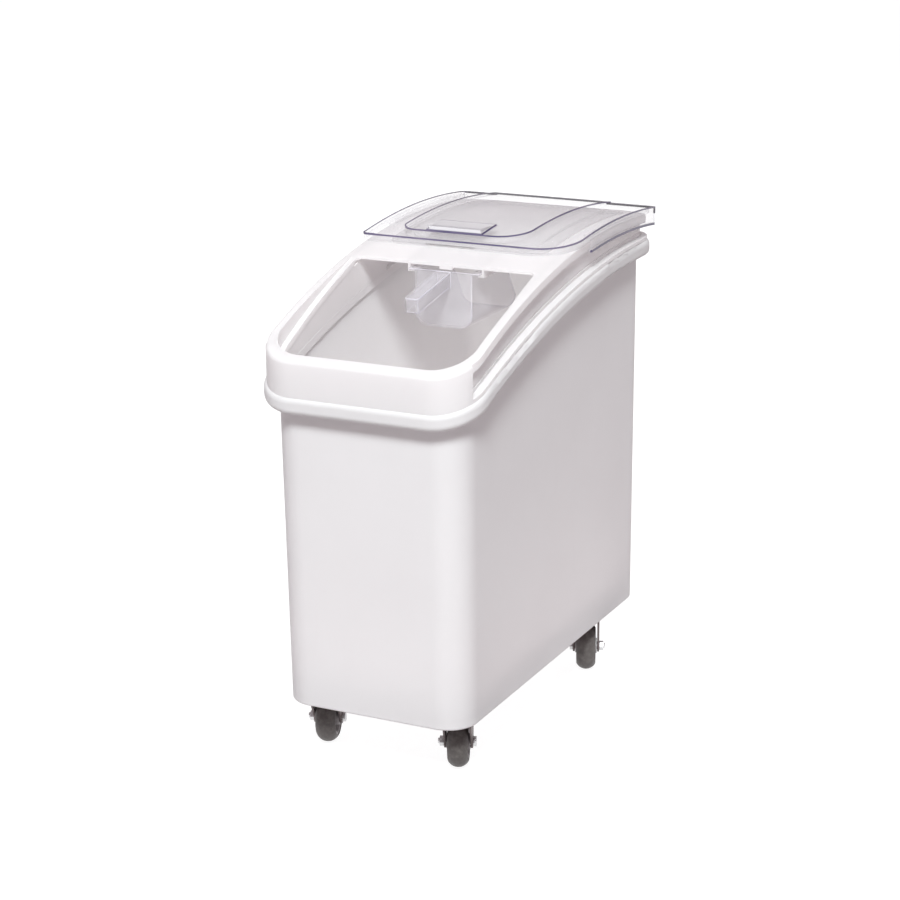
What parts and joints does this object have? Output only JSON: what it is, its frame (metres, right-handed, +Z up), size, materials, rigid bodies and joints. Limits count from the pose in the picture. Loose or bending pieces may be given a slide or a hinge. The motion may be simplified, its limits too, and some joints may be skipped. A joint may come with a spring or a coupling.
{
  "type": "mobile ingredient bin",
  "caption": "Tall narrow plastic ingredient bin with a slanted top, clear sliding lid over its front mouth, clear hanging scoop and swivel casters with brakes.",
  "frame": {"origin": "on the floor, under the centre of the bin's rim", "axes": "+Z up; -Y is the low front with the mouth; +X is the right-hand side, seen from the front"},
  "size_m": [0.34, 0.7, 0.7373],
  "materials": {
    "tub_plastic": "satin",
    "collar_plastic": "satin",
    "clear_plastic": "gloss",
    "scoop_plastic": "gloss",
    "zinc_steel": "satin",
    "ball_steel": "gloss",
    "fork_steel": "satin",
    "wheel_plastic": "satin",
    "tread_rubber": "matte"
  },
  "bodies": {
    "bin": {"tub": "tub_plastic", "collar": "collar_plastic", "rear_cover": "clear_plastic", "plate_screws": "zinc_steel", "front_left_plate": "zinc_steel", "front_left_race": "zinc_steel", "front_left_kingpin": "zinc_steel", "front_right_plate": "zinc_steel", "front_right_race": "zinc_steel", "front_right_kingpin": "zinc_steel", "rear_left_plate": "zinc_steel", "rear_left_race": "zinc_steel", "rear_left_kingpin": "zinc_steel", "rear_right_plate": "zinc_steel", "rear_right_race": "zinc_steel", "rear_right_kingpin": "zinc_steel"},
    "lid": {"sliding_lid": "clear_plastic"},
    "scoop": {"scoop": "scoop_plastic"},
    "front_left_swivel": {"front_left_fork": "fork_steel", "front_left_ball_ring": "ball_steel", "front_left_axle_bolt": "zinc_steel", "front_left_axle_nut": "zinc_steel", "front_left_axle_sleeve": "zinc_steel", "front_left_pedal_pin": "zinc_steel"},
    "front_left_wheel": {"front_left_wheel_core": "wheel_plastic", "front_left_tyre": "tread_rubber"},
    "front_left_brake": {"front_left_brake_pedal": "fork_steel"},
    "front_right_swivel": {"front_right_fork": "fork_steel", "front_right_ball_ring": "ball_steel", "front_right_axle_bolt": "zinc_steel", "front_right_axle_nut": "zinc_steel", "front_right_axle_sleeve": "zinc_steel", "front_right_pedal_pin": "zinc_steel"},
    "front_right_wheel": {"front_right_wheel_core": "wheel_plastic", "front_right_tyre": "tread_rubber"},
    "front_right_brake": {"front_right_brake_pedal": "fork_steel"},
    "rear_left_swivel": {"rear_left_fork": "fork_steel", "rear_left_ball_ring": "ball_steel", "rear_left_axle_bolt": "zinc_steel", "rear_left_axle_nut": "zinc_steel", "rear_left_axle_sleeve": "zinc_steel"},
    "rear_left_wheel": {"rear_left_wheel_core": "wheel_plastic", "rear_left_tyre": "tread_rubber"},
    "rear_right_swivel": {"rear_right_fork": "fork_steel", "rear_right_ball_ring": "ball_steel", "rear_right_axle_bolt": "zinc_steel", "rear_right_axle_nut": "zinc_steel", "rear_right_axle_sleeve": "zinc_steel"},
    "rear_right_wheel": {"rear_right_wheel_core": "wheel_plastic", "rear_right_tyre": "tread_rubber"}
  },
  "joints": [
    {"name": "lid_slide", "type": "hinge", "parent": "bin", "child": "lid", "pos_m": [0, 0.18, -0.529], "axis": [1, 0, 0], "range_deg": [0, 15.7]},
    {"name": "scoop_slide", "type": "slide", "parent": "bin", "child": "scoop", "axis": [0, 1, 0], "range_m": [-0.16, 0]},
    {"name": "front_left_swivel", "type": "hinge", "parent": "bin", "child": "front_left_swivel", "pos_m": [-0.108, -0.262, 0.09], "axis": [0, 0, 1], "continuous": true},
    {"name": "front_left_roll", "type": "hinge", "parent": "front_left_swivel", "child": "front_left_wheel", "pos_m": [-0.11542, -0.23917, 0.0375], "axis": [-0.9511, -0.309, 0], "continuous": true},
    {"name": "front_left_brake", "type": "hinge", "parent": "front_left_swivel", "child": "front_left_brake", "pos_m": [-0.11943, -0.22681, 0.0785], "axis": [-0.9511, -0.309, 0], "range_deg": [0, 11.5]},
    {"name": "front_right_swivel", "type": "hinge", "parent": "bin", "child": "front_right_swivel", "pos_m": [0.108, -0.262, 0.09], "axis": [0, 0, 1], "continuous": true},
    {"name": "front_right_roll", "type": "hinge", "parent": "front_right_swivel", "child": "front_right_wheel", "pos_m": [0.09901, -0.23975, 0.0375], "axis": [-0.9272, -0.3746, 0], "continuous": true},
    {"name": "front_right_brake", "type": "hinge", "parent": "front_right_swivel", "child": "front_right_brake", "pos_m": [0.09414, -0.22769, 0.0785], "axis": [-0.9272, -0.3746, 0], "range_deg": [0, 11.5]},
    {"name": "rear_left_swivel", "type": "hinge", "parent": "bin", "child": "rear_left_swivel", "pos_m": [-0.108, 0.206, 0.09], "axis": [0, 0, 1], "continuous": true},
    {"name": "rear_left_roll", "type": "hinge", "parent": "rear_left_swivel", "child": "rear_left_wheel", "pos_m": [-0.11134, 0.18223, 0.0375], "axis": [0.9903, -0.1392, 0], "continuous": true},
    {"name": "rear_right_swivel", "type": "hinge", "parent": "bin", "child": "rear_right_swivel", "pos_m": [0.108, 0.206, 0.09], "axis": [0, 0, 1], "continuous": true},
    {"name": "rear_right_roll", "type": "hinge", "parent": "rear_right_swivel", "child": "rear_right_wheel", "pos_m": [0.11699, 0.18375, 0.0375], "axis": [0.9272, 0.3746, 0], "continuous": true}
  ]
}
